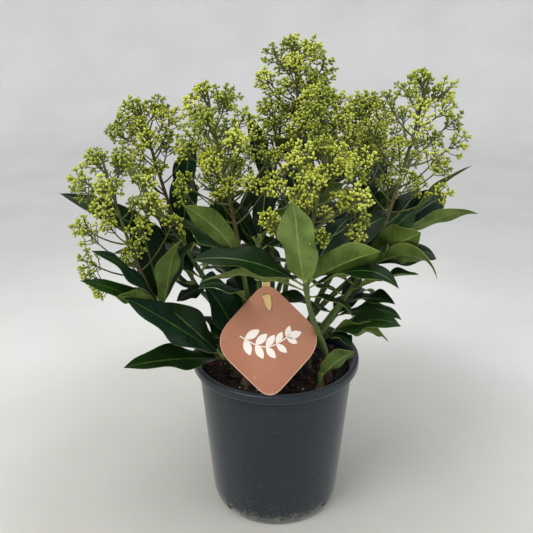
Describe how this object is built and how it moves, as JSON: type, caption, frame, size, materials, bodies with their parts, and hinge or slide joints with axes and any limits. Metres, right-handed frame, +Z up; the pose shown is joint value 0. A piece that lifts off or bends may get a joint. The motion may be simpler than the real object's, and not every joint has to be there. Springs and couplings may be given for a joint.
{
  "type": "potted skimmia shrub",
  "caption": "Small evergreen shrub in a round plastic nursery pot: leathery leaves in whorls under branched heads of flower buds, with a plain hanging tag.",
  "frame": {"origin": "on the pot's axis, at the level of the surface it stands on", "axes": "+Z up along the pot's axis; -Y towards the side that the hanging tag faces; +X to the right seen from that side"},
  "size_m": [0.3496, 0.2765, 0.4173],
  "materials": {
    "pot": "satin slate grey, moulded, with dust and fine scratches",
    "soil": "moist dark peat with bark chips and white grains",
    "stem": "smooth green bark, satin",
    "leaf": "leathery, dark green with a satin sheen on top, olive green below",
    "bud": "matt yellow-green buds on olive twigs",
    "card": "matt printed card, copper brown, no lettering",
    "strap": "satin, pale gold"
  },
  "bodies": {
    "root": {"pot": "pot", "soil": "soil", "hang_tag": "card", "tag_strap": "strap", "stem_far_left": "stem", "leaves_far_left": "leaf", "flowers_far_left": "bud", "stem_upper_left": "stem", "leaves_upper_left": "leaf", "flowers_upper_left": "bud", "stem_mid_left": "stem", "leaves_mid_left": "leaf", "flowers_mid_left": "bud", "stem_top": "stem", "leaves_top": "leaf", "flowers_top": "bud", "bough_centre": "stem", "leaves_centre": "leaf", "flowers_centre": "bud", "stem_front": "stem", "leaves_front": "leaf", "flowers_front": "bud", "stem_mid_right": "stem", "leaves_mid_right": "leaf", "flowers_mid_right": "bud", "stem_right": "stem", "leaves_right": "leaf", "flowers_right": "bud", "stem_back_left": "stem", "leaves_back_left": "leaf", "flowers_back_left": "bud", "stem_back": "stem", "leaves_back": "leaf", "flowers_back": "bud", "bough_back_right": "stem", "leaves_back_right": "leaf", "flowers_back_right": "bud", "bough_low_back": "stem", "leaves_low_back": "leaf", "flowers_low_back": "bud", "stem_inner_front": "stem", "leaves_inner_front": "leaf", "bough_low_left": "stem", "leaves_low_left": "leaf", "bough_low_right": "stem", "leaves_low_right": "leaf", "bough_side_left": "stem", "leaves_side_left": "leaf", "bough_side_right": "stem", "leaves_side_right": "leaf", "bough_low_behind": "stem", "leaves_low_behind": "leaf", "bough_low_right_back": "stem", "leaves_low_right_back": "leaf", "stem_low_middle": "stem", "leaves_low_middle": "leaf", "stem_low_front": "stem", "leaves_low_front": "leaf"}
  },
  "joints": []
}
